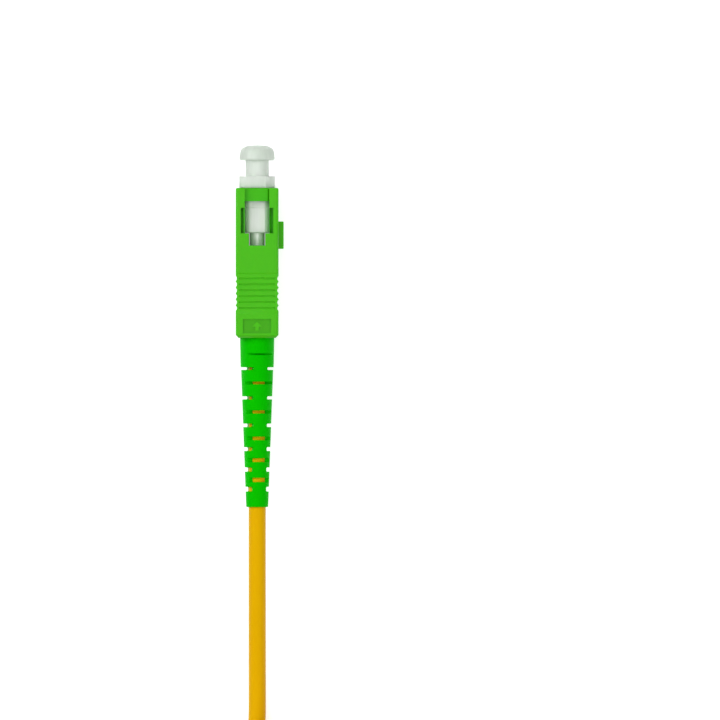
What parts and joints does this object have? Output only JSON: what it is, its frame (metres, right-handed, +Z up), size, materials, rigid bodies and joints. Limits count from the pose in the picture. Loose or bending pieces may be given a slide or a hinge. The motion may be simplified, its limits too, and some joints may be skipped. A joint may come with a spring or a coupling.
{
  "type": "sc fibre connector",
  "caption": "Green angled-contact push-pull fibre connector with keyed housing, translucent dust cap and slotted strain-relief boot, on a coiled yellow simplex pigtail.",
  "frame": {"origin": "middle of the outer housing's lower narrow face, on which the connector lies", "axes": "+Z up, +Y towards the mating end along the connector's axis, +X towards the key"},
  "size_m": [0.0306, 0.1491, 0.0194],
  "materials": {
    "housing_green": "satin moulded",
    "frame_green": "satin moulded",
    "boot_green": "matt moulded",
    "cap_clear": "translucent moulded",
    "zirconia": "ground and polished",
    "nickel_brass": "nickel plated",
    "spring_steel": "drawn",
    "ptfe_white": "extruded",
    "epoxy_amber": "cured",
    "buffer_white": "extruded",
    "silica": "drawn",
    "aramid": "loose fibres",
    "jacket_yellow": "matt extruded",
    "tie_black": "woven hook and loop"
  },
  "bodies": {
    "plug": {"plug_frame": "frame_green", "stop_ring": "nickel_brass", "crimp_ring": "nickel_brass", "aramid_yarn": "aramid", "jacket_front": "jacket_yellow", "boot": "boot_green", "spring": "spring_steel", "cable": "jacket_yellow", "cable_coil": "jacket_yellow", "end_yarn": "aramid", "end_buffer": "buffer_white", "coil_tie": "tie_black"},
    "housing": {"outer_housing": "housing_green"},
    "ferrule_assembly": {"ferrule": "zirconia", "ferrule_flange": "nickel_brass", "guide_tube": "ptfe_white", "epoxy_fill": "epoxy_amber", "tight_buffer": "buffer_white", "optical_fibre": "silica"},
    "cap": {"dust_cap": "cap_clear"}
  },
  "joints": [
    {"name": "housing_slide", "type": "slide", "parent": "plug", "child": "housing", "axis": [0, 1, 0], "range_m": [-0.0018, 0]},
    {"name": "ferrule_float", "type": "slide", "parent": "plug", "child": "ferrule_assembly", "axis": [0, 1, 0], "range_m": [-0.0012, 0], "stiffness_N_per_m": 2500, "springref_m": 0.0036, "deforming": ["spring"]},
    {"name": "cap_pull", "type": "slide", "parent": "plug", "child": "cap", "axis": [0, 1, 0], "range_m": [0, 0.02]}
  ]
}
